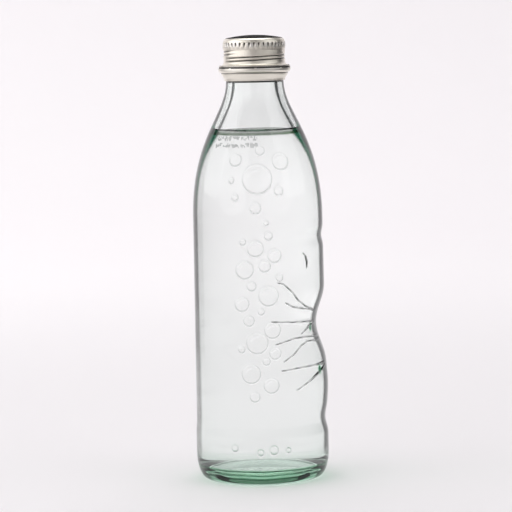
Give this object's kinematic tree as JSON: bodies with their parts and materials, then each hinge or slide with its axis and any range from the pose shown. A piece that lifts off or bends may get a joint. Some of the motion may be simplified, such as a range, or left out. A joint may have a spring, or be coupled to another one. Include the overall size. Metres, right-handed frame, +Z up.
{
  "type": "soda bottle",
  "caption": "Clear glass soda bottle with a pressed side grip, full of clear drink, under a roll-on aluminium screw cap with a tamper ring.",
  "frame": {"origin": "on the bottle's axis, in the plane that the bottle stands on", "axes": "+Z up along the bottle's axis, +X towards the pressed grip, -Y towards the front"},
  "size_m": [0.0613, 0.0612, 0.2032],
  "materials": {
    "glass": "smooth",
    "drink": "clear liquid",
    "aluminium": "satin",
    "liner": "matte"
  },
  "bodies": {
    "bottle": {"glass_bottle": "glass", "soda_fill": "drink"},
    "liner": {"cap_liner": "liner"},
    "cap": {"cap_shell": "aluminium"},
    "ring": {"tamper_ring": "aluminium"}
  },
  "joints": [
    {"name": "cap_lift", "type": "slide", "parent": "bottle", "child": "liner", "axis": [0, 0, 1], "range_m": [0, 0.00636]},
    {"name": "cap_turn", "type": "hinge", "parent": "liner", "child": "cap", "pos_m": [0, 0, 0.2], "axis": [0, 0, 1], "range_deg": [0, 720]},
    {"name": "ring_turn", "type": "hinge", "parent": "bottle", "child": "ring", "pos_m": [0, 0, 0.1885], "axis": [0, 0, 1], "continuous": true}
  ],
  "couplings": [
    {"joint": "cap_lift", "follows": "cap_turn", "m_per_rad": 0.00050532}
  ]
}
